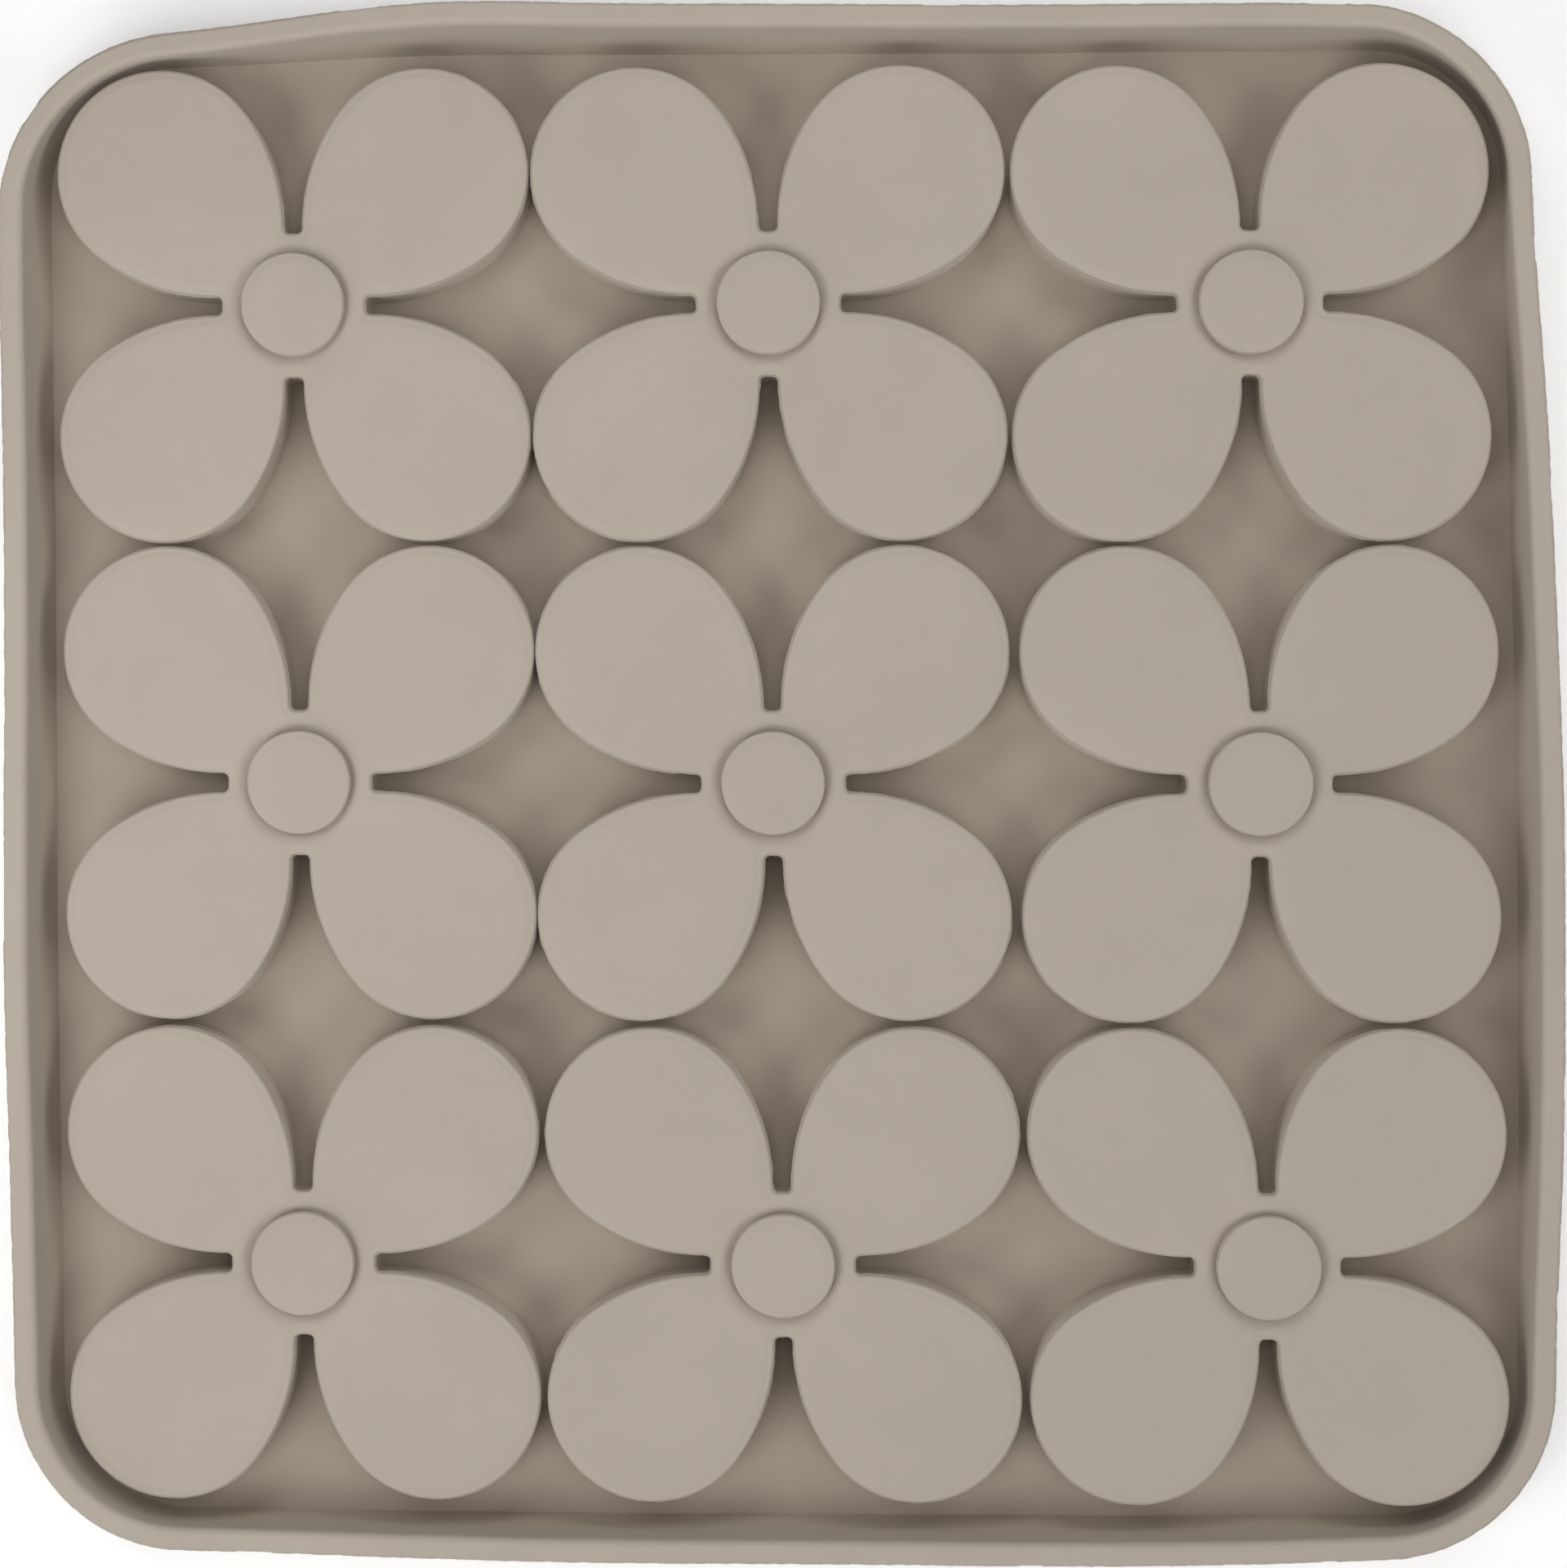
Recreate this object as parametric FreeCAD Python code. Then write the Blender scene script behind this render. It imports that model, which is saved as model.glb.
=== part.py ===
import FreeCAD, Part
import math
import os

# Nine-cavity silicone soap mould, lying on its pour face with the flower cups standing up.
# Origin: centre of the pour face. +Z: out of the underside, away from the pour face.
# Every size is in millimetres.

# The grid of cavities
GRID_COUNT = 3
PITCH = 60.0

# One four-petal flower, measured on its outside
LOBE_OFFSET = 16.45
LOBE_RADIUS = 13.1
SLOT_HALF_WIDTH = 1.2
SLOT_END = 8.8
SLOT_CORNER = 0.65
PETAL_SIDE_START = 9.8

# Heights and thicknesses
WEB_THICKNESS = 2.0
CUP_WALL = 1.5
PLATE_THICKNESS = 1.8
PETAL_HEIGHT = 8.5
BOSS_RADIUS = 6.45
BOSS_HEIGHT = 1.2
WALL_HEIGHT = 13.0
RIM_HEIGHT = 1.6

# The outer wall is a rounded square ring that leans out as it rises
CORNER_CENTRE = 76.2
INNER_HALF_AT_FLOOR = 92.4
INNER_HALF_AT_TOP = 93.9
OUTER_HALF_AT_BASE = 95.2
OUTER_HALF_AT_TOP = 96.7

# Edge rounding
PETAL_EDGE = 0.9
BOSS_EDGE = 1.0
RIM_INNER_EDGE = 0.9
RIM_OUTER_EDGE = 0.3

PETAL_TOP = WEB_THICKNESS + PETAL_HEIGHT
BOSS_TOP = PETAL_TOP + BOSS_HEIGHT
PLATE_BOTTOM = PETAL_TOP - PLATE_THICKNESS
RIM_BOTTOM = WALL_HEIGHT - RIM_HEIGHT

# The petal's long side is one arc. It leaves the slot's side square to the slot's end
# and runs into the round lobe with no corner, which fixes its radius.
LOBE_TO_SLOT = LOBE_OFFSET - SLOT_HALF_WIDTH
SIDE_RADIUS = (
    (LOBE_OFFSET - PETAL_SIDE_START) ** 2 + LOBE_TO_SLOT ** 2 - LOBE_RADIUS ** 2
) / (2 * (LOBE_TO_SLOT - LOBE_RADIUS))


def point(x, y, z=0.0):
    return FreeCAD.Vector(x, y, z)


def arc(centre, start, end):
    """The shorter arc about centre from start to end."""
    middle = (start - centre) + (end - centre)
    middle.normalize()
    middle.multiply((start - centre).Length)
    return Part.Arc(start, centre + middle, end).toShape()


def line(start, end):
    return Part.LineSegment(start, end).toShape()


def mirrored(vector):
    """The same point reflected in the petal's own centre line, x = y."""
    return point(vector.y, vector.x, vector.z)


def petal_edges(inset):
    """One petal's outline, from the slot on +X round to the slot on +Y."""
    half_slot = SLOT_HALF_WIDTH + inset
    slot_end = SLOT_END - inset
    corner = SLOT_CORNER + inset
    lobe_centre = point(LOBE_OFFSET, LOBE_OFFSET)
    side_centre = point(PETAL_SIDE_START, SLOT_HALF_WIDTH + SIDE_RADIUS)
    outward = lobe_centre - side_centre
    outward.normalize()

    slot_middle = point(slot_end, 0)
    corner_start = point(slot_end, half_slot - corner)
    corner_end = point(slot_end + corner, half_slot)
    side_start = point(PETAL_SIDE_START, half_slot)
    lobe_start = lobe_centre + outward * (LOBE_RADIUS - inset)
    tip_reach = (LOBE_RADIUS - inset) / math.sqrt(2)
    lobe_tip = lobe_centre + point(tip_reach, tip_reach)
    corner_centre = point(slot_end + corner, half_slot - corner)

    return [
        line(slot_middle, corner_start),
        arc(corner_centre, corner_start, corner_end),
        line(corner_end, side_start),
        arc(side_centre, side_start, lobe_start),
        Part.Arc(lobe_start, lobe_tip, mirrored(lobe_start)).toShape(),
        arc(mirrored(side_centre), mirrored(lobe_start), mirrored(side_start)),
        line(mirrored(side_start), mirrored(corner_end)),
        arc(mirrored(corner_centre), mirrored(corner_end), mirrored(corner_start)),
        line(mirrored(corner_start), mirrored(slot_middle)),
    ]


def flower_prism(inset, bottom, top):
    """An upright prism with the flower's outline, moved inwards by inset."""
    edges = []
    for quarter in range(4):
        for edge in petal_edges(inset):
            edge.rotate(point(0, 0), point(0, 0, 1), 90 * quarter)
            edges.append(edge)
    outline = Part.Wire(Part.__sortEdges__(edges))
    face = Part.Face(outline)
    face.translate(point(0, 0, bottom))
    return face.extrude(point(0, 0, top - bottom))


def rounded_square(half, z):
    """A square wire whose corner arcs all share the wall's corner centres."""
    radius = half - CORNER_CENTRE
    diagonal = CORNER_CENTRE + radius / math.sqrt(2)
    edges = []
    for quarter in range(4):
        side = line(point(half, -CORNER_CENTRE, z), point(half, CORNER_CENTRE, z))
        corner = Part.Arc(
            point(half, CORNER_CENTRE, z),
            point(diagonal, diagonal, z),
            point(CORNER_CENTRE, half, z),
        ).toShape()
        for edge in (side, corner):
            edge.rotate(point(0, 0), point(0, 0, 1), 90 * quarter)
            edges.append(edge)
    return Part.Wire(Part.__sortEdges__(edges))


def rounded_prism(half, bottom, top):
    return Part.Face(rounded_square(half, bottom)).extrude(point(0, 0, top - bottom))


def leaning_block(half_bottom, half_top, bottom, top):
    wires = [rounded_square(half_bottom, bottom), rounded_square(half_top, top)]
    return Part.makeLoft(wires, True, True)


def half_between(half_low, z_low, half_high, z_high, z):
    return half_low + (half_high - half_low) * (z - z_low) / (z_high - z_low)


def outer_half(z):
    return half_between(OUTER_HALF_AT_BASE, 0.0, OUTER_HALF_AT_TOP, WALL_HEIGHT, z)


def inner_half(z):
    return half_between(INNER_HALF_AT_FLOOR, WEB_THICKNESS, INNER_HALF_AT_TOP, WALL_HEIGHT, z)


def flower_places():
    """Row and column names with each flower's centre. Row 1 is at +Y, column 1 at -X."""
    middle = (GRID_COUNT - 1) / 2
    for row in range(GRID_COUNT):
        for column in range(GRID_COUNT):
            centre = point((column - middle) * PITCH, (middle - row) * PITCH)
            yield "r%dc%d" % (row + 1, column + 1), centre


def moved(shape, offset):
    copy = shape.copy()
    copy.translate(offset)
    return copy


def edges_at_height(shape, z, least_reach, most_reach):
    """Level edges at height z whose furthest point from the middle lies between two reaches."""
    found = []
    for edge in shape.Edges:
        bounds = edge.BoundBox
        reach = max(bounds.XMax, -bounds.XMin, bounds.YMax, -bounds.YMin)
        if abs(bounds.ZMin - z) < 0.001 and least_reach < reach < most_reach:
            found.append(edge)
    return found


def make_flower_cup():
    """Petal walls and petal plate, open at the pour face, with a round hole for the boss."""
    body = flower_prism(0.0, 0.0, PETAL_TOP)
    body = body.makeFillet(PETAL_EDGE, edges_at_height(body, PETAL_TOP, 0.0, PITCH))
    body = body.cut(flower_prism(CUP_WALL, 0.0, PLATE_BOTTOM))
    return body.cut(Part.makeCylinder(BOSS_RADIUS, BOSS_TOP))


def make_centre_boss():
    """A round cap that fills the hole in the petal plate, hollow from the pour side."""
    cap = Part.makeCylinder(BOSS_RADIUS, BOSS_TOP - PLATE_BOTTOM, point(0, 0, PLATE_BOTTOM))
    cap = cap.makeFillet(BOSS_EDGE, edges_at_height(cap, BOSS_TOP, 0.0, PITCH))
    recess_depth = BOSS_TOP - PLATE_THICKNESS - PLATE_BOTTOM
    recess = Part.makeCylinder(BOSS_RADIUS - CUP_WALL, recess_depth, point(0, 0, PLATE_BOTTOM))
    return cap.cut(recess)


def make_base_web():
    """The sheet between the cavities: each cup passes down through it to the pour face."""
    web = rounded_prism(INNER_HALF_AT_FLOOR, 0.0, WEB_THICKNESS)
    hole = flower_prism(0.0, 0.0, WEB_THICKNESS)
    for _, centre in flower_places():
        web = web.cut(moved(hole, centre))
    return web


def make_side_wall():
    outside = leaning_block(OUTER_HALF_AT_BASE, outer_half(RIM_BOTTOM), 0.0, RIM_BOTTOM)
    web_space = rounded_prism(INNER_HALF_AT_FLOOR, 0.0, WEB_THICKNESS)
    inside = leaning_block(
        INNER_HALF_AT_FLOOR, inner_half(RIM_BOTTOM), WEB_THICKNESS, RIM_BOTTOM
    )
    return outside.cut(web_space).cut(inside)


def make_top_rim():
    outside = leaning_block(outer_half(RIM_BOTTOM), OUTER_HALF_AT_TOP, RIM_BOTTOM, WALL_HEIGHT)
    inside = leaning_block(inner_half(RIM_BOTTOM), INNER_HALF_AT_TOP, RIM_BOTTOM, WALL_HEIGHT)
    rim = outside.cut(inside)
    middle_half = (INNER_HALF_AT_TOP + OUTER_HALF_AT_TOP) / 2
    inner_edges = edges_at_height(rim, WALL_HEIGHT, 0.0, middle_half)
    rim = rim.makeFillet(RIM_INNER_EDGE, inner_edges)
    outer_edges = edges_at_height(rim, WALL_HEIGHT, middle_half + RIM_OUTER_EDGE, PITCH * GRID_COUNT)
    return rim.makeFillet(RIM_OUTER_EDGE, outer_edges)


def save(shape, node):
    solid = shape.removeSplitter()
    if not solid.isValid() or len(solid.Solids) != 1:
        raise ValueError("%s is not one valid solid" % node)
    solid.Solids[0].exportStep("parts/%s.step" % node)
    print("%-20s %9.1f mm3" % (node, solid.Volume))


os.makedirs("parts", exist_ok=True)
save(make_base_web(), "base_web")
save(make_side_wall(), "side_wall")
save(make_top_rim(), "top_rim")
flower_cup = make_flower_cup()
centre_boss = make_centre_boss()
for place, centre in flower_places():
    save(moved(flower_cup, centre), "flower_cup_" + place)
    save(moved(centre_boss, centre), "centre_boss_" + place)
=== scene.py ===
import math

import bmesh
import bpy
import numpy as np
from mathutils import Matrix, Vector, geometry


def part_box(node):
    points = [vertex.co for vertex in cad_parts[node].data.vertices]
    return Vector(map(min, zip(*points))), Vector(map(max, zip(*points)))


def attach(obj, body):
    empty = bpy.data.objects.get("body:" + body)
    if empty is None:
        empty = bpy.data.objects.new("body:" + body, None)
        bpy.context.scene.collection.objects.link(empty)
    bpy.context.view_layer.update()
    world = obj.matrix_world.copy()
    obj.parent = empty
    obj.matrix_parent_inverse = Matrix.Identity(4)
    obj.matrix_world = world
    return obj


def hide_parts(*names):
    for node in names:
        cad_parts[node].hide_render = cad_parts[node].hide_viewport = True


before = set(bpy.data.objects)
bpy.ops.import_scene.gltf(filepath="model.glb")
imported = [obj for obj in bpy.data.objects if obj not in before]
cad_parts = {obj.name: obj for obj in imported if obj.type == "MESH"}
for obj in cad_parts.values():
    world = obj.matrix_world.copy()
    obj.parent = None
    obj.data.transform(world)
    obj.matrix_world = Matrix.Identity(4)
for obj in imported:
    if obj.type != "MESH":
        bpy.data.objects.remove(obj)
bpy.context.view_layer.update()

# ---------------------------------------------------------------------------------------------
# Flower cups
# Nine hollow cups, cast in one shot with the rest of the mould in taupe silicone. Each is a
# four-petal flower: a flat petal plate with a soft edge, upright sides, open at the pour face.
# The silicone is limp, so no cup lies quite on its place in the grid.

MM = 0.001
GRID_PLACES = [(row, column) for row in (1, 2, 3) for column in (1, 2, 3)]
cup_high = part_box("flower_cup_r2c2")[1]
web_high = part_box("base_web")[1]
boss_low, boss_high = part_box("centre_boss_r2c2")
PETAL_TOP = cup_high.z
WEB_TOP = web_high.z
BOSS_RADIUS = boss_high.x
PLATE_BOTTOM = boss_low.z

LOBE_RADIUS = 13.1 * MM
LOBE_OFFSET = cup_high.x - LOBE_RADIUS
SLOT_HALF_WIDTH = 1.2 * MM
SLOT_END = 8.95 * MM
SLOT_CORNER = 0.75 * MM
PETAL_SIDE_START = 9.8 * MM
CUP_WALL = 1.5 * MM
PETAL_EDGE = 0.5 * MM
EDGE_DROOP = 0.15 * MM
EDGE_REACH = 1.5 * MM
MOAT_DEPTH = 0.6 * MM
MOAT_REACH = 0.95 * MM
MOUTH_EDGE = 0.35 * MM
CAVITY_EDGE = 0.6 * MM
SUPPORT = 0.2 * MM  # a narrow strip beside each rounded edge, which keeps its shading crisp
PETAL_MESH = 1.0 * MM
PLATE_MESH = 1.5 * MM
DISH_RINGS = 5
SHARP_ANGLE = math.radians(38)

TAUPE = (0.394, 0.344, 0.292, 1)
PALE_TAUPE = (0.414, 0.362, 0.308, 1)
PAINTED_WARM_SHADE = (0.415, 0.350, 0.278, 1)  # painted shade: a warmer colour low down in place of the warm bounced light there, not a finish
WARM_SHADE_FROM = 9.4 * MM
WARM_SHADE_BELOW = 7.4 * MM
GRAIN_SHADE = (0.355, 0.310, 0.256, 1)
PALE_DUST = (0.75, 0.72, 0.68, 1)
DARK_DUST = (0.16, 0.12, 0.09, 1)
SCUFF = (0.24, 0.20, 0.16, 1)

lobe_to_slot = LOBE_OFFSET - SLOT_HALF_WIDTH
PETAL_SIDE_RADIUS = (
    (LOBE_OFFSET - PETAL_SIDE_START) ** 2 + lobe_to_slot ** 2 - LOBE_RADIUS ** 2
) / (2 * (lobe_to_slot - LOBE_RADIUS))

# How far each cup lies off its place, in millimetres to the right and towards the top, as set
# in rounds of measuring and correcting
CUP_SHIFT = {
    "r1c1": (-0.7, 0.0), "r1c2": (-1.3, -0.15), "r1c3": (-1.5, -0.45),
    "r2c1": (-0.5, 0.35), "r2c2": (-1.3, 0.1), "r2c3": (-0.9, -0.15),
    "r3c1": (-0.6, 0.3), "r3c2": (-0.65, 0.1), "r3c3": (-0.5, -0.05),
}
MAT_SHEAR = 0.0100
MAT_TURN = 0.0024
MAT_TAPER = 0.0729  # per metre: stands in for a view tilted by 2 degrees, so the view is straight


def arc_points(centre, start, end, steps):
    """Points on the shorter arc about centre, from start up to but not including end."""
    centre, start, end = (np.asarray(p, float) for p in (centre, start, end))
    first = math.atan2(*(start - centre)[::-1])
    turn = math.atan2(*(end - centre)[::-1]) - first
    turn = (turn + math.pi) % (2 * math.pi) - math.pi
    angles = first + turn * np.arange(steps) / steps
    radius = np.linalg.norm(start - centre)
    return centre + radius * np.column_stack((np.cos(angles), np.sin(angles)))


def four_turns(quarter):
    """A whole closed ring from the quarter of it that starts on +X."""
    turns = ((1, 0), (0, 1), (-1, 0), (0, -1))
    return np.vstack([quarter @ np.array(((c, s), (-s, c))) for c, s in turns])


def flower_outline(inset=0.0):
    """The flower's outline as a closed ring of points, moved inwards by inset."""
    slot_half = SLOT_HALF_WIDTH + inset
    slot_end = SLOT_END - inset
    corner = SLOT_CORNER + inset
    lobe_centre = np.array((LOBE_OFFSET, LOBE_OFFSET))
    side_centre = np.array((PETAL_SIDE_START, SLOT_HALF_WIDTH + PETAL_SIDE_RADIUS))
    outward = (lobe_centre - side_centre) / np.linalg.norm(lobe_centre - side_centre)
    lobe_start = lobe_centre + outward * (LOBE_RADIUS - inset)
    tip = lobe_centre + (LOBE_RADIUS - inset) / math.sqrt(2)
    corner_centre = np.array((slot_end + corner, slot_half - corner))
    corner_start = np.array((slot_end, slot_half - corner))
    corner_end = np.array((slot_end + corner, slot_half))
    side_start = np.array((PETAL_SIDE_START, slot_half))
    half_petal = np.vstack((
        [(slot_end, 0.0)],
        arc_points(corner_centre, corner_start, corner_end, 6),
        [corner_end],
        arc_points(side_centre, side_start, lobe_start, 22),
        arc_points(lobe_centre, lobe_start, tip, 26),
        [tip],
    ))
    return four_turns(np.vstack((half_petal, half_petal[-2:0:-1, ::-1])))


def circle(radius, steps=128):
    angles = 2 * math.pi * np.arange(steps) / steps
    return radius * np.column_stack((np.cos(angles), np.sin(angles)))


def rounded_profile(start, corner, end, radius, steps=7):
    """A (reach, height) path from start to end whose corner is rounded by radius."""
    start, corner, end = (np.asarray(p, float) for p in (start, corner, end))
    to_start = (start - corner) / np.linalg.norm(start - corner)
    to_end = (end - corner) / np.linalg.norm(end - corner)
    centre = corner + radius * (to_start + to_end)
    bend = [
        centre - radius * (to_end * math.cos(a) + to_start * math.sin(a))
        for a in np.linspace(0, math.pi / 2, steps + 1)
    ]
    return [start, *bend, end]


def drooped_edge(low, top, radius):
    """An (inset, height) path up an upright side and over a soft edge that droops a little
    before it turns down."""
    edge_top = top - EDGE_DROOP
    path = rounded_profile((0, low), (0, edge_top), (radius + SUPPORT, edge_top), radius)
    for share in (0.3, 0.6, 0.8, 1.0):
        reach = radius + SUPPORT + share * (EDGE_REACH - radius - SUPPORT)
        path.append((reach, top - EDGE_DROOP * (1 - share) ** 2))
    return path


def ring_at(outline, height):
    return [(x, y, height) for x, y in outline]


def add_rings(mesh, rings):
    """Joins rings of points, each with the same count, into a band of four-sided faces."""
    made = [[mesh.verts.new(point) for point in ring] for ring in rings]
    for lower, upper in zip(made, made[1:]):
        for i in range(len(lower)):
            j = (i + 1) % len(lower)
            mesh.faces.new((lower[i], lower[j], upper[j], upper[i]))


def inside_ring(ring, x, y):
    """Which of the points (x, y) lie inside a closed ring, by counting the edges they cross."""
    x, y = np.asarray(x)[:, None], np.asarray(y)[:, None]
    ahead = np.roll(ring, -1, axis=0)
    crosses = (ring[:, 1] > y) != (ahead[:, 1] > y)
    rise = np.where(ahead[:, 1] == ring[:, 1], 1.0, ahead[:, 1] - ring[:, 1])
    meets = ring[:, 0] + (y - ring[:, 1]) * (ahead[:, 0] - ring[:, 0]) / rise
    return (crosses & (x < meets)).sum(axis=1) % 2 == 1


def add_sheet(mesh, outer, holes, height, spacing):
    """Fills a level sheet between an outer ring and its holes with even triangles. Spare points
    lie on a grid, and none stands closer to a ring than about half the spacing."""
    rings = [np.asarray(outer), *holes]
    border = np.vstack(rings)
    low, high = border.min(axis=0), border.max(axis=0)
    columns, lines = (np.arange(low[i] + spacing / 2, high[i], spacing) for i in (0, 1))
    grid = np.array([(x, y) for y in lines for x in columns])
    clearance = np.array([np.hypot(*(border - p).T).min() for p in grid])
    grid = grid[clearance > spacing * 0.45]
    edges, start = [], 0
    for ring in rings:
        count = len(ring)
        edges += [(start + i, start + (i + 1) % count) for i in range(count)]
        start += count
    flat = [Vector(p / MM) for p in np.vstack((border, grid))]
    points, _, triangles, *_ = geometry.delaunay_2d_cdt(flat, edges, [], 0, 1e-5)
    points = np.array(points) * MM
    triangles = np.array(triangles)
    middle = points[triangles].mean(axis=1)
    kept = inside_ring(rings[0], *middle.T)
    for hole in rings[1:]:
        kept &= ~inside_ring(hole, *middle.T)
    verts = [mesh.verts.new((x, y, height)) for x, y in points]
    for triangle in triangles[kept]:
        mesh.faces.new([verts[i] for i in triangle])


def settled(points):
    """Where points of the square mould lie once it is put down, a little askew."""
    x, y, z = points.T
    x, y = x - MAT_SHEAR * y, y + MAT_TURN * x
    return np.column_stack((x + MAT_TAPER * x * x, y + MAT_TAPER * x * y, z))


def dish_round_boss(mesh):
    """Sinks the petal plate a little towards the boss, where the thick silicone shrank."""
    for vert in mesh.verts:
        if vert.co.z > PETAL_TOP - EDGE_DROOP - 0.5 * PETAL_EDGE:
            away = max(0.0, vert.co.xy.length - BOSS_RADIUS)
            vert.co.z -= MOAT_DEPTH * math.exp(-away / MOAT_REACH)


def finished_piece(name, mesh, nodes, at, settle):
    """Closes the mesh, lays it in its place, and hands it to the frame."""
    bmesh.ops.remove_doubles(mesh, verts=mesh.verts, dist=1e-6)
    loose = [vert for vert in mesh.verts if not vert.link_faces]
    bmesh.ops.delete(mesh, geom=loose, context="VERTS")
    bmesh.ops.recalc_face_normals(mesh, faces=mesh.faces)
    data = bpy.data.meshes.new(name)
    mesh.to_mesh(data)
    mesh.free()
    points = np.zeros(len(data.vertices) * 3)
    data.vertices.foreach_get("co", points)
    points = settle(points.reshape(-1, 3) + (at[0], at[1], 0.0))
    data.vertices.foreach_set("co", points.ravel())
    data.shade_smooth()
    data.set_sharp_from_angle(angle=SHARP_ANGLE)
    data.materials.append(silicone)
    piece = bpy.data.objects.new(name, data)
    bpy.context.scene.collection.objects.link(piece)
    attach(piece, "root")
    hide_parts(*nodes)


def add_node(tree, kind, settings=None, **inputs):
    """Adds a node to tree; an input is a value or the socket that feeds it."""
    node = tree.nodes.new(kind)
    for key, value in (settings or {}).items():
        setattr(node, key, value)
    for key, value in inputs.items():
        socket = node.inputs[key.replace("_", " ")]
        if isinstance(value, bpy.types.NodeSocket):
            tree.links.new(value, socket)
        else:
            socket.default_value = value
    return node


def taupe_silicone():
    """Matt, soft-touch moulded silicone with a fine satin grain, faint mottling, dust and short
    scuffs, and with painted warm shade on its low parts. Its dullness varies in patches."""
    paint = bpy.data.materials.new("taupe_silicone")
    paint.use_nodes = True
    tree = paint.node_tree
    shader = tree.nodes["Principled BSDF"]
    place = tree.nodes.new("ShaderNodeTexCoord").outputs["Object"]

    blotches = add_node(
        tree, "ShaderNodeTexNoise", Vector=place, Scale=55.0, Detail=7.0, Roughness=0.62)
    grain = add_node(tree, "ShaderNodeTexNoise", Vector=place, Scale=2600.0, Detail=2.0)
    tint = tree.nodes.new("ShaderNodeValToRGB")
    tint.color_ramp.elements[0].position = 0.35
    tint.color_ramp.elements[0].color = TAUPE
    tint.color_ramp.elements[1].position = 0.65
    tint.color_ramp.elements[1].color = PALE_TAUPE
    tree.links.new(blotches.outputs["Fac"], tint.inputs["Fac"])

    def specks(scale, size, chosen, shift, turn=0.0, stretch=1.0):
        """A mask of tiny specks, round or drawn out into short scuffs: a chosen share of the
        cells of a scattered pattern."""
        turned = add_node(tree, "ShaderNodeMapping", Vector=place, Rotation=(0.0, 0.0, turn))
        moved = add_node(
            tree, "ShaderNodeMapping", Vector=turned.outputs["Vector"],
            Location=(shift, shift, 0.0), Scale=(1.0 / stretch, 1.0, 1.0))
        cells = add_node(
            tree, "ShaderNodeTexVoronoi", Vector=moved.outputs["Vector"], Scale=scale)
        near = add_node(tree, "ShaderNodeMapRange", Value=cells.outputs["Distance"])
        near.inputs["From Min"].default_value = size * scale
        near.inputs["From Max"].default_value = 0.5 * size * scale
        share = add_node(tree, "ShaderNodeSeparateColor", Color=cells.outputs["Color"])
        picked = add_node(tree, "ShaderNodeMath", {"operation": "LESS_THAN"})
        tree.links.new(share.outputs["Red"], picked.inputs[0])
        picked.inputs[1].default_value = chosen
        mask = add_node(tree, "ShaderNodeMath", {"operation": "MULTIPLY"})
        tree.links.new(near.outputs["Result"], mask.inputs[0])
        tree.links.new(picked.outputs["Value"], mask.inputs[1])
        return mask.outputs["Value"]

    def mixed(below, mask, colour, strength):
        """Lays a colour over the one below where the mask says, at most to the given strength."""
        weaker = add_node(tree, "ShaderNodeMath", {"operation": "MULTIPLY"})
        tree.links.new(mask, weaker.inputs[0])
        weaker.inputs[1].default_value = strength
        layer = tree.nodes.new("ShaderNodeMix")
        layer.data_type = "RGBA"
        tree.links.new(weaker.outputs["Value"], layer.inputs[0])
        tree.links.new(below, layer.inputs[6])
        layer.inputs[7].default_value = colour
        return layer.outputs[2]

    # Painted shade: below a set height the colour turns warmer, in place of the warm light that
    # bounces between the flowers
    height = add_node(tree, "ShaderNodeSeparateXYZ", Vector=place)
    painted_shade_mask = add_node(
        tree, "ShaderNodeMapRange", {"interpolation_type": "SMOOTHSTEP"},
        Value=height.outputs["Z"])
    painted_shade_mask.inputs["From Min"].default_value = WARM_SHADE_FROM
    painted_shade_mask.inputs["From Max"].default_value = WARM_SHADE_BELOW
    colour = mixed(tint.outputs["Color"], painted_shade_mask.outputs["Result"], PAINTED_WARM_SHADE, 0.8)
    colour = mixed(colour, grain.outputs["Fac"], GRAIN_SHADE, 0.16)
    pale_dust = specks(scale=150.0, size=0.10 * MM, chosen=0.30, shift=0.5)
    dark_dust = specks(scale=130.0, size=0.13 * MM, chosen=0.22, shift=1.7)
    scuffs = specks(
        scale=75.0, size=0.13 * MM, chosen=0.16, shift=2.9, turn=0.6, stretch=7.0)
    cross_scuffs = specks(
        scale=85.0, size=0.11 * MM, chosen=0.12, shift=4.1, turn=-0.9, stretch=9.0)
    colour = mixed(colour, pale_dust, PALE_DUST, 0.8)
    colour = mixed(colour, dark_dust, DARK_DUST, 0.55)
    colour = mixed(colour, scuffs, SCUFF, 0.45)
    colour = mixed(colour, cross_scuffs, SCUFF, 0.40)
    tree.links.new(colour, shader.inputs["Base Color"])

    worn = add_node(tree, "ShaderNodeMapRange", Value=blotches.outputs["Fac"])
    worn.inputs["To Min"].default_value = 0.56
    worn.inputs["To Max"].default_value = 0.70
    tree.links.new(worn.outputs["Result"], shader.inputs["Roughness"])

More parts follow.
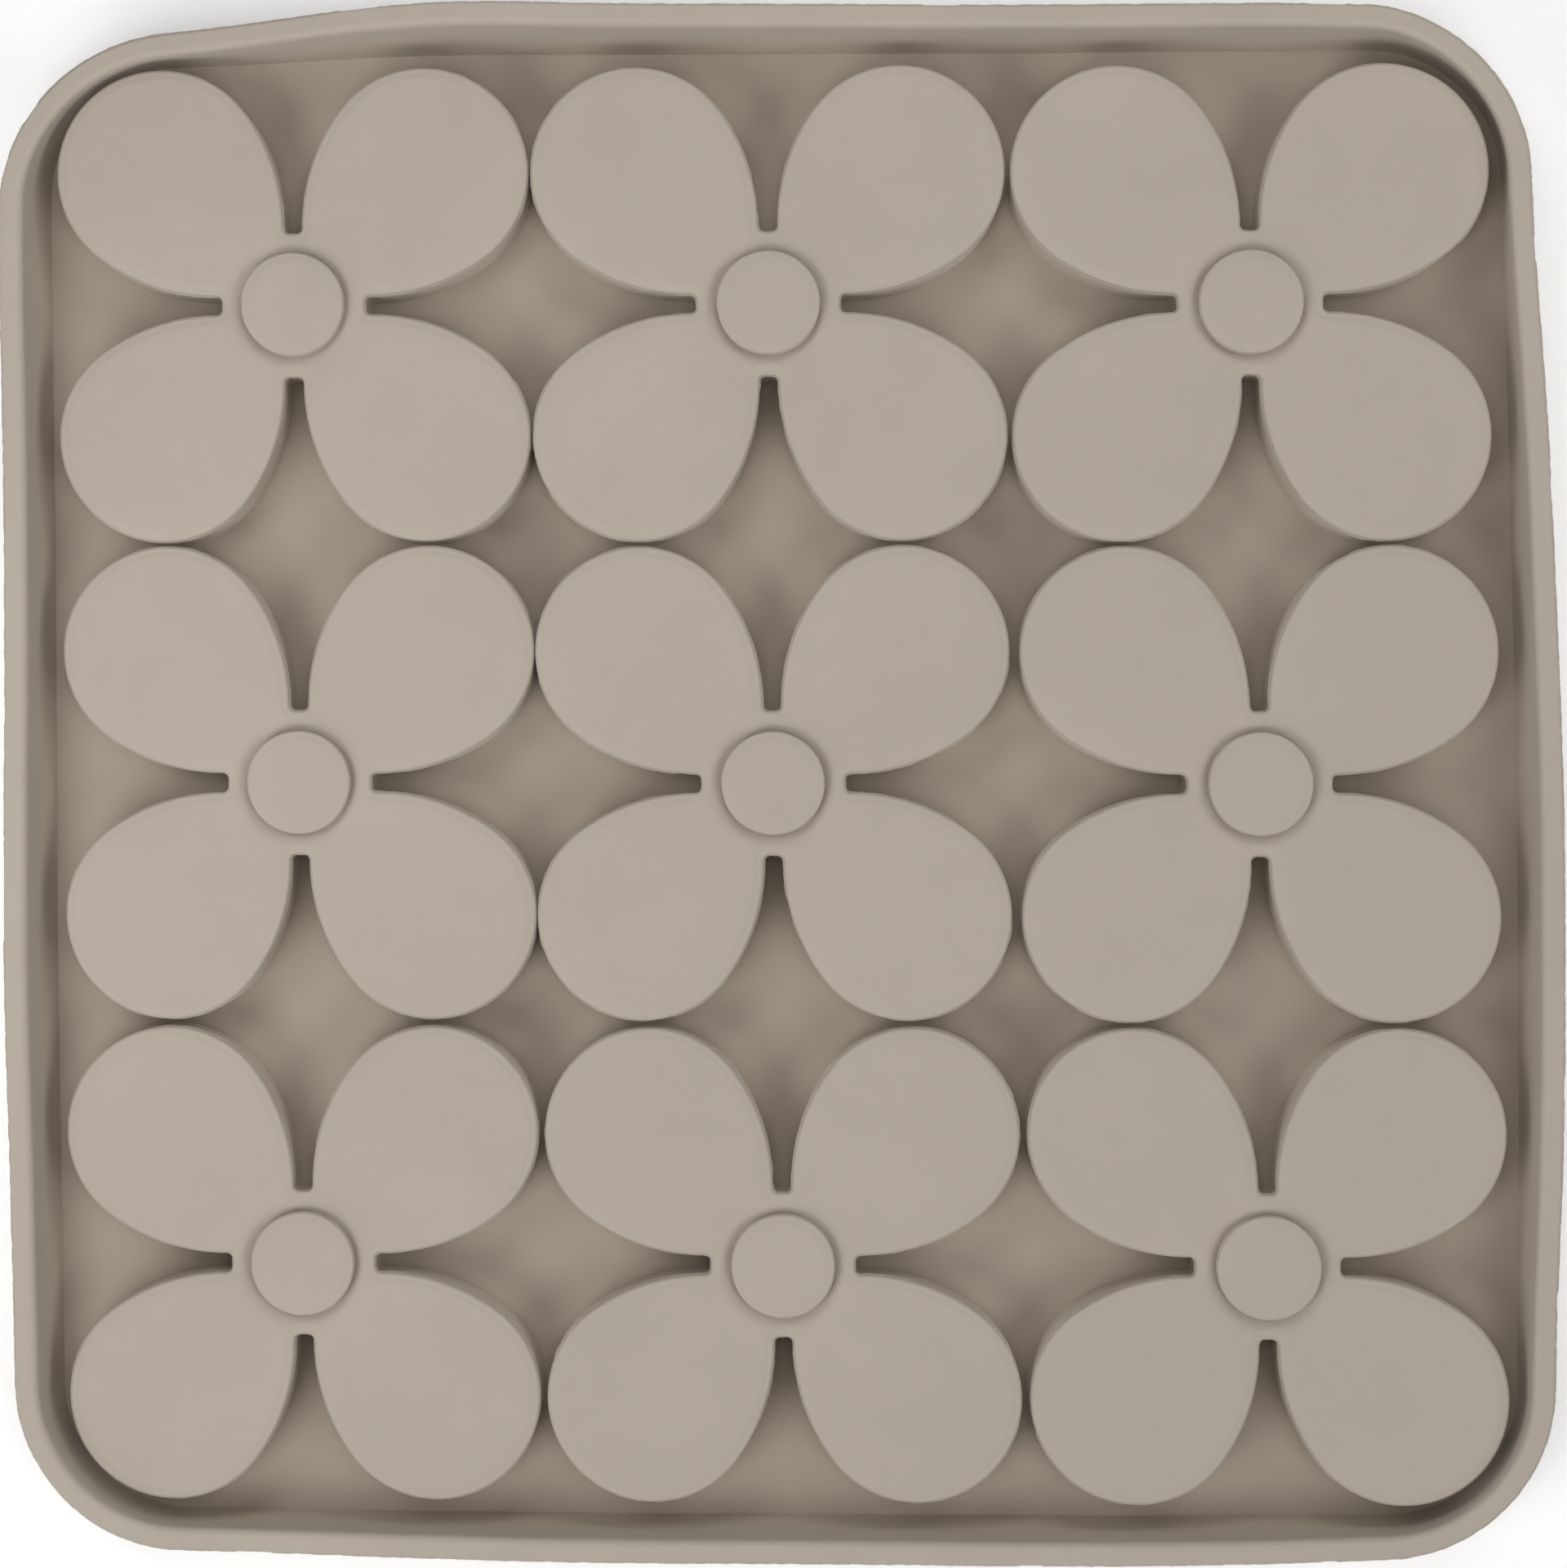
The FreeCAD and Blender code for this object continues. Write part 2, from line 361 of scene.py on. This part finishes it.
    satin = add_node(
        tree, "ShaderNodeBump", Strength=0.25, Distance=0.02 * MM, Height=grain.outputs["Fac"])
    ripple = add_node(tree, "ShaderNodeTexNoise", Vector=place, Scale=160.0, Detail=1.0)
    wavy = add_node(
        tree, "ShaderNodeBump", Strength=0.12, Distance=0.08 * MM,
        Height=ripple.outputs["Fac"], Normal=satin.outputs["Normal"])
    tree.links.new(wavy.outputs["Normal"], shader.inputs["Normal"])
    shader.inputs["IOR"].default_value = 1.41
    shader.inputs["Specular IOR Level"].default_value = 0.4
    shader.inputs["Sheen Weight"].default_value = 0.30
    shader.inputs["Sheen Roughness"].default_value = 0.45
    shader.inputs["Sheen Tint"].default_value = (1.0, 0.93, 0.84, 1)
    shader.inputs["Subsurface Weight"].default_value = 0.08
    shader.inputs["Subsurface Radius"].default_value = (1.0, 0.8, 0.6)
    shader.inputs["Subsurface Scale"].default_value = 0.8 * MM
    return paint


silicone = taupe_silicone()


def flower_cup_mesh():
    mesh = bmesh.new()
    outside = [(0, 0), *drooped_edge(WEB_TOP, PETAL_TOP, PETAL_EDGE)]
    inside = rounded_profile(
        (CUP_WALL + CAVITY_EDGE + SUPPORT, PLATE_BOTTOM), (CUP_WALL, PLATE_BOTTOM),
        (CUP_WALL, WEB_TOP), CAVITY_EDGE)
    mouth = rounded_profile((CUP_WALL, WEB_TOP), (CUP_WALL, 0), (0, 0), MOUTH_EDGE)
    add_rings(mesh, [ring_at(flower_outline(inset), z) for inset, z in outside])
    add_rings(mesh, [ring_at(flower_outline(inset), z) for inset, z in [*inside, *mouth[1:]]])
    hole = circle(BOSS_RADIUS)
    add_rings(mesh, [ring_at(hole, PLATE_BOTTOM), ring_at(hole, PETAL_TOP)])
    dish = [circle(BOSS_RADIUS + step * SUPPORT) for step in range(DISH_RINGS)]
    add_rings(mesh, [ring_at(ring, PETAL_TOP) for ring in dish])
    add_sheet(mesh, flower_outline(EDGE_REACH), [dish[-1]], PETAL_TOP, PETAL_MESH)
    dish_round_boss(mesh)
    inner_plate = flower_outline(CUP_WALL + CAVITY_EDGE + SUPPORT)
    add_sheet(mesh, inner_plate, [hole], PLATE_BOTTOM, PLATE_MESH)
    return mesh


def cup_centre(row, column):
    place = "r%dc%d" % (row, column)
    low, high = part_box("flower_cup_" + place)
    right, up = CUP_SHIFT[place]
    return (low.x + high.x) / 2 + right * MM, (low.y + high.y) / 2 + up * MM


for row, column in GRID_PLACES:
    place = "r%dc%d" % (row, column)
    finished_piece(
        "soft_flower_" + place, flower_cup_mesh(), ["flower_cup_" + place],
        cup_centre(row, column), settled)

# ---------------------------------------------------------------------------------------------
# Centre bosses
# A low round button in the middle of each flower, of the same silicone. It is a hollow cap over
# the round recess that gives the cast soap its raised eye.

BOSS_TOP = boss_high.z
BOSS_EDGE = 0.35 * MM
RECESS_TOP = BOSS_TOP - (PETAL_TOP - PLATE_BOTTOM)
RECESS_RADIUS = BOSS_RADIUS - CUP_WALL
BOSS_MESH = 1.2 * MM


def centre_boss_mesh():
    mesh = bmesh.new()
    crown = [
        (BOSS_RADIUS - inset, z) for inset, z in drooped_edge(PLATE_BOTTOM, BOSS_TOP, BOSS_EDGE)]
    recess = rounded_profile(
        (RECESS_RADIUS - CAVITY_EDGE - SUPPORT, RECESS_TOP), (RECESS_RADIUS, RECESS_TOP),
        (RECESS_RADIUS, PLATE_BOTTOM), CAVITY_EDGE)
    foot = [(RECESS_RADIUS, PLATE_BOTTOM), (BOSS_RADIUS, PLATE_BOTTOM)]
    for profile in (crown, recess, foot):
        add_rings(mesh, [ring_at(circle(reach), z) for reach, z in profile])
    add_sheet(mesh, circle(BOSS_RADIUS - EDGE_REACH), [], BOSS_TOP, BOSS_MESH)
    add_sheet(mesh, circle(RECESS_RADIUS - CAVITY_EDGE - SUPPORT), [], RECESS_TOP, BOSS_MESH)
    return mesh


for row, column in GRID_PLACES:
    place = "r%dc%d" % (row, column)
    finished_piece(
        "round_boss_" + place, centre_boss_mesh(), ["centre_boss_" + place],
        cup_centre(row, column), settled)

# ---------------------------------------------------------------------------------------------
# Base web
# The thin flat silicone sheet between the cups, cast in one with them. Its underside is the
# pour face, so it has one flower-shaped mouth for each cup, and the wall stands on its edge.

CORNER_CENTRE = 76.2 * MM
WEB_MESH = 3.0 * MM


def rounded_square(half, side_steps=72, corner_steps=24):
    """A ring of points round a square whose corner arcs share the wall's corner centres."""
    side = np.linspace(-CORNER_CENTRE, CORNER_CENTRE, side_steps, endpoint=False)
    corner = arc_points(
        (CORNER_CENTRE, CORNER_CENTRE), (half, CORNER_CENTRE), (CORNER_CENTRE, half),
        corner_steps)
    return four_turns(np.vstack((np.column_stack((np.full(side_steps, half), side)), corner)))


# How far the wall's free edge stands out from its straight line (inwards is negative), in
# millimetres, at even steps along each side: right and left from bottom to top, top and bottom
# from left to right. They were set in rounds of measuring and correcting too. The wall's foot,
# and the edge of the web with it, follows by a share of that.
BOW_STATIONS = np.linspace(-90, 90, 9) * MM
RIGHT_BOW = (-2.7, -2.5, -1.1, -0.8, -0.7, -1.5, -2.2, -3.95, -4.3)
LEFT_BOW = (-0.3, -0.1, 0.3, 0.9, 0.5, 0.2, 0.2, 0.6, 0.0)
TOP_BOW = (-4.4, -2.5, 1.0, 0.1, -0.1, -0.5, -0.6, -0.55, -1.45)
BOTTOM_BOW = (-1.8, -1.4, -0.6, -0.1, -0.2, 0.0, 0.0, -0.7, -1.6)
BOW_EASE = 12 * MM
BOW_FADE = (55 * MM, 86 * MM)  # inside the first the mould isn't bowed, beyond the second fully
BOW_BEND = 1.4
FOOT_SHARE = 0.35
WALL_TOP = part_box("top_rim")[1].z


def smooth_bow(bow, along):
    """The bow at each place along a side, with the corners between its stations eased."""
    shifts = np.linspace(-BOW_EASE, BOW_EASE, 9)
    return np.mean([np.interp(along + s, BOW_STATIONS, bow) for s in shifts], axis=0) * MM


def eased(value, low, high):
    """0 up to low, 1 from high on, and an even curve between."""
    share = np.clip((value - low) / (high - low), 0.0, 1.0)
    return share * share * (3.0 - 2.0 * share)


def bent(points):
    """Bends points of the wall, the rim or the web's edge with the soft free edge."""
    x, y, z = points.T
    height = np.clip((z - WEB_TOP) / (WALL_TOP - WEB_TOP), 0.0, 1.0)
    lift = FOOT_SHARE + (1.0 - FOOT_SHARE) * height ** BOW_BEND
    side = np.where(x > 0, smooth_bow(RIGHT_BOW, y), -smooth_bow(LEFT_BOW, y))
    end = np.where(y > 0, smooth_bow(TOP_BOW, x), -smooth_bow(BOTTOM_BOW, x))
    moved = points.copy()
    moved[:, 0] += lift * side * eased(np.abs(x), *BOW_FADE)
    moved[:, 1] += lift * end * eased(np.abs(y), *BOW_FADE)
    return moved


def bowed(points):
    """Where points of the wall and rim lie once the mould is put down."""
    return settled(bent(points))


web_edge = bent(np.array(ring_at(rounded_square(web_high.x), 0.0)))[:, :2]
mouths = [flower_outline() + cup_centre(row, column) for row, column in GRID_PLACES]
web_mesh = bmesh.new()
for height in (0.0, WEB_TOP):
    add_sheet(web_mesh, web_edge, mouths, height, WEB_MESH)
for loop in [web_edge, *mouths]:
    add_rings(web_mesh, [ring_at(loop, 0.0), ring_at(loop, WEB_TOP)])
finished_piece("pour_face_web", web_mesh, ["base_web"], (0, 0), settled)

# ---------------------------------------------------------------------------------------------
# Side wall
# The silicone skirt round the web, about 2.8 mm thick, cast in one with it. It leans out a
# little, and because its upper edge is free and soft it bows along the sides and is drawn in
# towards the corners.

rim_low, rim_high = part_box("top_rim")
RIM_BOTTOM = rim_low.z
OUTER_HALF_AT_BASE = 95.2 * MM
OUTER_HALF_AT_TOP = rim_high.x
INNER_HALF_AT_TOP = 93.9 * MM


def between(low, high, share):
    return low + (high - low) * share


def outer_half(z):
    return between(OUTER_HALF_AT_BASE, OUTER_HALF_AT_TOP, z / WALL_TOP)


def inner_half(z):
    share = max(0.0, z - WEB_TOP) / (WALL_TOP - WEB_TOP)
    return between(web_high.x, INNER_HALF_AT_TOP, share)


# Its section, up the inner face and down the outer one
wall_section = [(inner_half(z), z) for z in (0.0, *np.linspace(WEB_TOP, RIM_BOTTOM, 8))]
wall_section += [(outer_half(z), z) for z in np.linspace(RIM_BOTTOM, 0.0, 9)]
wall_section.append(wall_section[0])
wall_mesh = bmesh.new()
add_rings(wall_mesh, [ring_at(rounded_square(half), z) for half, z in wall_section])
finished_piece("skirt_wall", wall_mesh, ["side_wall"], (0, 0), bowed)

# ---------------------------------------------------------------------------------------------
# Top rim
# The free silicone edge of the wall, with a soft inner edge where the mould tool was rounded and
# a crisp outer edge where the tool's two halves met.

RIM_INNER_EDGE = 0.9 * MM
RIM_OUTER_EDGE = 0.3 * MM
inner_side = rounded_profile(
    (inner_half(RIM_BOTTOM), RIM_BOTTOM), (INNER_HALF_AT_TOP, WALL_TOP),
    (INNER_HALF_AT_TOP + RIM_INNER_EDGE + SUPPORT, WALL_TOP), RIM_INNER_EDGE)
outer_side = rounded_profile(
    (OUTER_HALF_AT_TOP - RIM_OUTER_EDGE - SUPPORT, WALL_TOP), (OUTER_HALF_AT_TOP, WALL_TOP),
    (outer_half(RIM_BOTTOM), RIM_BOTTOM), RIM_OUTER_EDGE)
rim_section = [*inner_side, *outer_side, inner_side[0]]
rim_mesh = bmesh.new()
add_rings(rim_mesh, [ring_at(rounded_square(half), z) for half, z in rim_section])
finished_piece("soft_rim", rim_mesh, ["top_rim"], (0, 0), bowed)

# ---------------------------------------------------------------------------------------------
# Moulding flash
# A hair-thin bead of silicone that squeezed into the tool's parting line, round each flower just
# under its soft edge and along the rim's outer edge. It was torn off by hand, so it comes and
# goes: thick in places, nearly gone in others.

FLASH_DEPTH = 1.25 * MM
FLASH_STEP = 0.45 * MM
FLASH_SINK = 0.04 * MM
PATCH_SCALE = 90.0
NICK_SCALE = 900.0
TORN_SOFTNESS = 0.03
RIM_FLASH_SINK = 0.10 * MM
RIM_FLASH_DEPTH = RIM_OUTER_EDGE + 0.05 * MM


def flash_tree():
    """Geometry nodes that lay an uneven bead along each closed loop of edges."""
    tree = bpy.data.node_groups.new("moulding_flash", "GeometryNodeTree")
    for name, kind in (
        ("Loops", "NodeSocketGeometry"), ("Step", "NodeSocketFloat"),
        ("Thinnest", "NodeSocketFloat"), ("Thickest", "NodeSocketFloat"),
        ("Torn", "NodeSocketFloat"), ("Seed", "NodeSocketFloat"),
        ("Silicone", "NodeSocketMaterial"),
    ):
        tree.interface.new_socket(name, in_out="INPUT", socket_type=kind)
    tree.interface.new_socket("Bead", in_out="OUTPUT", socket_type="NodeSocketGeometry")
    given = tree.nodes.new("NodeGroupInput").outputs
    where = tree.nodes.new("GeometryNodeInputPosition").outputs["Position"]

    loops = add_node(tree, "GeometryNodeMeshToCurve", Mesh=given["Loops"])
    paced = add_node(
        tree, "GeometryNodeResampleCurve", {"mode": "LENGTH"}, Curve=loops.outputs["Curve"],
        Length=given["Step"])
    patches = add_node(
        tree, "ShaderNodeTexNoise", {"noise_dimensions": "4D"}, Vector=where, W=given["Seed"],
        Scale=PATCH_SCALE, Detail=2.0)
    nicks = add_node(
        tree, "ShaderNodeTexNoise", {"noise_dimensions": "4D"}, Vector=where, W=given["Seed"],
        Scale=NICK_SCALE, Detail=1.0)
    present = add_node(
        tree, "ShaderNodeMapRange", {"interpolation_type": "SMOOTHSTEP"},
        Value=patches.outputs["Fac"], From_Min=given["Torn"])
    full = add_node(tree, "ShaderNodeMath", {"operation": "ADD"})
    tree.links.new(given["Torn"], full.inputs[0])
    full.inputs[1].default_value = TORN_SOFTNESS
    tree.links.new(full.outputs["Value"], present.inputs["From Max"])
    uneven = add_node(tree, "ShaderNodeMath", {"operation": "MULTIPLY"})
    tree.links.new(present.outputs["Result"], uneven.inputs[0])
    tree.links.new(nicks.outputs["Fac"], uneven.inputs[1])
    radius = add_node(
        tree, "ShaderNodeMapRange", Value=uneven.outputs["Value"], To_Min=given["Thinnest"],
        To_Max=given["Thickest"])
    radius.inputs["From Max"].default_value = 0.6
    section = add_node(tree, "GeometryNodeCurvePrimitiveCircle", Resolution=6, Radius=1.0)
    bead = add_node(
        tree, "GeometryNodeCurveToMesh", Curve=paced.outputs["Curve"],
        Profile_Curve=section.outputs["Curve"], Scale=radius.outputs["Result"])
    smooth = add_node(tree, "GeometryNodeSetShadeSmooth", Geometry=bead.outputs["Mesh"])
    real = add_node(tree, "GeometryNodeRealizeInstances", Geometry=smooth.outputs["Geometry"])
    painted = add_node(
        tree, "GeometryNodeSetMaterial", Geometry=real.outputs["Geometry"],
        Material=given["Silicone"])
    add_node(tree, "NodeGroupOutput", Bead=painted.outputs["Geometry"])
    return tree


def add_flash(name, loops, settings):
    """Runs the flash tree on closed loops of settled points and keeps the result as a mesh."""
    data = bpy.data.meshes.new(name + "_loops")
    verts, edges = [], []
    for loop in loops:
        start, count = len(verts), len(loop)
        verts += [tuple(p) for p in loop]
        edges += [(start + i, start + (i + 1) % count) for i in range(count)]
    data.from_pydata(verts, edges, [])
    carrier = bpy.data.objects.new(name + "_loops", data)
    bpy.context.scene.collection.objects.link(carrier)
    modifier = carrier.modifiers.new("flash", "NODES")
    modifier.node_group = flash_nodes
    for item in flash_nodes.interface.items_tree:
        if item.in_out == "INPUT" and item.name in settings:
            modifier[item.identifier] = settings[item.name]
    evaluated = carrier.evaluated_get(bpy.context.evaluated_depsgraph_get())
    bead = bpy.data.objects.new(name, bpy.data.meshes.new_from_object(evaluated))
    carrier.modifiers.clear()
    bpy.data.objects.remove(carrier)
    bpy.context.scene.collection.objects.link(bead)
    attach(bead, "root")


flash_nodes = flash_tree()
flower_loops = []
for row, column in GRID_PLACES:
    ring = np.array(ring_at(flower_outline(FLASH_SINK), PETAL_TOP - FLASH_DEPTH))
    ring[:, :2] += cup_centre(row, column)
    flower_loops.append(settled(ring))
add_flash("petal_flash", flower_loops, {
    "Step": FLASH_STEP, "Thinnest": 0.02 * MM, "Thickest": 0.20 * MM, "Torn": 0.44,
    "Seed": 3.0, "Silicone": silicone})

rim_loop = np.array(ring_at(
    rounded_square(OUTER_HALF_AT_TOP - RIM_FLASH_SINK), WALL_TOP - RIM_FLASH_DEPTH))
add_flash("rim_flash", [bowed(rim_loop)], {
    "Step": FLASH_STEP, "Thinnest": 0.03 * MM, "Thickest": 0.22 * MM, "Torn": 0.36,
    "Seed": 8.0, "Silicone": silicone})

# ---------------------------------------------------------------------------------------------
# Studio
# A pale table, a ring of large softboxes round the mould, small lamps close to its sides that
# reach down between the flowers, and a camera straight above.

TABLE_HALF = 1.5
TABLE_TOP = -0.2 * MM
table_corners = [
    (x * TABLE_HALF, y * TABLE_HALF, TABLE_TOP) for x, y in ((-1, -1), (1, -1), (1, 1), (-1, 1))]
table_mesh = bpy.data.meshes.new("table")
table_mesh.from_pydata(table_corners, [], [(0, 1, 2, 3)])
table = bpy.data.objects.new("table", table_mesh)
bpy.context.scene.collection.objects.link(table)
table_paint = bpy.data.materials.new("pale_table")
table_paint.use_nodes = True
table_shader = table_paint.node_tree.nodes["Principled BSDF"]
table_shader.inputs["Base Color"].default_value = (0.97, 0.97, 0.97, 1)
table_shader.inputs["Roughness"].default_value = 0.7
table_shader.inputs["Emission Color"].default_value = (1, 1, 1, 1)
table_shader.inputs["Emission Strength"].default_value = 0.12
table_mesh.materials.append(table_paint)

world = bpy.data.worlds.new("studio")
world.use_nodes = True
backdrop = world.node_tree.nodes["Background"]
backdrop.inputs["Color"].default_value = (1, 1, 1, 1)
backdrop.inputs["Strength"].default_value = 0.03
bpy.context.scene.world = world


def softbox(name, place, size, power):
    """A square lamp at place that faces the mould and isn't itself seen."""
    light = bpy.data.lights.new(name, "AREA")
    light.size = size
    light.energy = power
    lamp = bpy.data.objects.new(name, light)
    lamp.location = place
    lamp.rotation_euler = (-Vector(place)).to_track_quat("-Z", "Y").to_euler()
    lamp.visible_camera = False
    bpy.context.scene.collection.objects.link(lamp)


RING_DISTANCE = 0.9
RING_SIZE = 0.45
NEAR_SIZE = 0.14
SMALL_SIZE = 0.08
# The power that ends each lamp's line, here and below, is the result of a least-squares fit
for name, turn, rise, power in (
    ("right", 0, 38, 1.242), ("top", 90, 38, 0.811), ("lower_left", 225, 38, 0.727),
    ("lower_right", 315, 38, 0.66), ("low_lower_left", 225, 18, 1.431),
):
    turn, rise = math.radians(turn), math.radians(rise)
    place = RING_DISTANCE * Vector((
        math.cos(rise) * math.cos(turn), math.cos(rise) * math.sin(turn), math.sin(rise)))
    softbox("ring_" + name, place, RING_SIZE, power)
softbox("overhead", (0.0, 0.0, 0.52), 0.22, 0.393)
softbox("near_lower_left", (-0.17, -0.17, 0.25), NEAR_SIZE, 0.305)
softbox("near_lower_right", (0.17, -0.17, 0.25), NEAR_SIZE, 0.197)
softbox("near_left", (-0.14, 0.03, 0.15), SMALL_SIZE, 0.071)
softbox("near_upper_left", (-0.08, 0.08, 0.20), SMALL_SIZE, 0.027)
softbox("near_top", (0.0, 0.17, 0.14), SMALL_SIZE, 0.055)
softbox("near_right", (0.17, 0.10, 0.14), SMALL_SIZE, 0.069)

CAMERA_HEIGHT = 0.4935
VIEW_WIDTH = 0.19501
camera_data = bpy.data.cameras.new("camera")
camera_data.sensor_width = 36
camera_data.lens = camera_data.sensor_width * (CAMERA_HEIGHT - PETAL_TOP) / VIEW_WIDTH
camera = bpy.data.objects.new("camera", camera_data)
camera.location = (0, 0, CAMERA_HEIGHT)
bpy.context.scene.collection.objects.link(camera)
bpy.context.scene.camera = camera
bpy.context.scene.view_settings.view_transform = "Standard"
